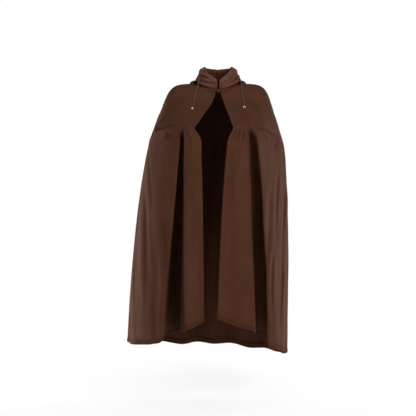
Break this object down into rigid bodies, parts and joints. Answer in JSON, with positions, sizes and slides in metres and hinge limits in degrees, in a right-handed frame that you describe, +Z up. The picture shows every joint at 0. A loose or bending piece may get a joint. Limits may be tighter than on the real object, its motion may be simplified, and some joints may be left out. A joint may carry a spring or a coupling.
{
  "type": "hooded meditation cloak",
  "caption": "Full-length hooded cloak worn open over raised forearms, with a fastened frog at the throat and a beaded hood drawstring.",
  "frame": {"origin": "middle of the neck opening at shoulder height, where the wearer carries the cloak", "axes": "+Z up, the front of the cloak faces -Y, +X is the wearer's left"},
  "size_m": [0.7727, 0.6461, 1.3713],
  "materials": {
    "cloth": "matte brown woven cloth",
    "frog_cord": "brown corded cloth",
    "drawstring_cord": "light brown braided cord",
    "bead": "smooth cream bead"
  },
  "bodies": {
    "root": {"front_right_panel": "cloth", "front_left_panel": "cloth", "back_panel": "cloth", "hood_right_half": "cloth", "hood_left_half": "cloth", "frog_knot_strands": "frog_cord", "frog_loop": "frog_cord", "frog_knot": "frog_cord", "drawstring_right": "drawstring_cord", "drawstring_left": "drawstring_cord", "drawstring_bead_right": "bead", "drawstring_bead_left": "bead"}
  },
  "joints": []
}
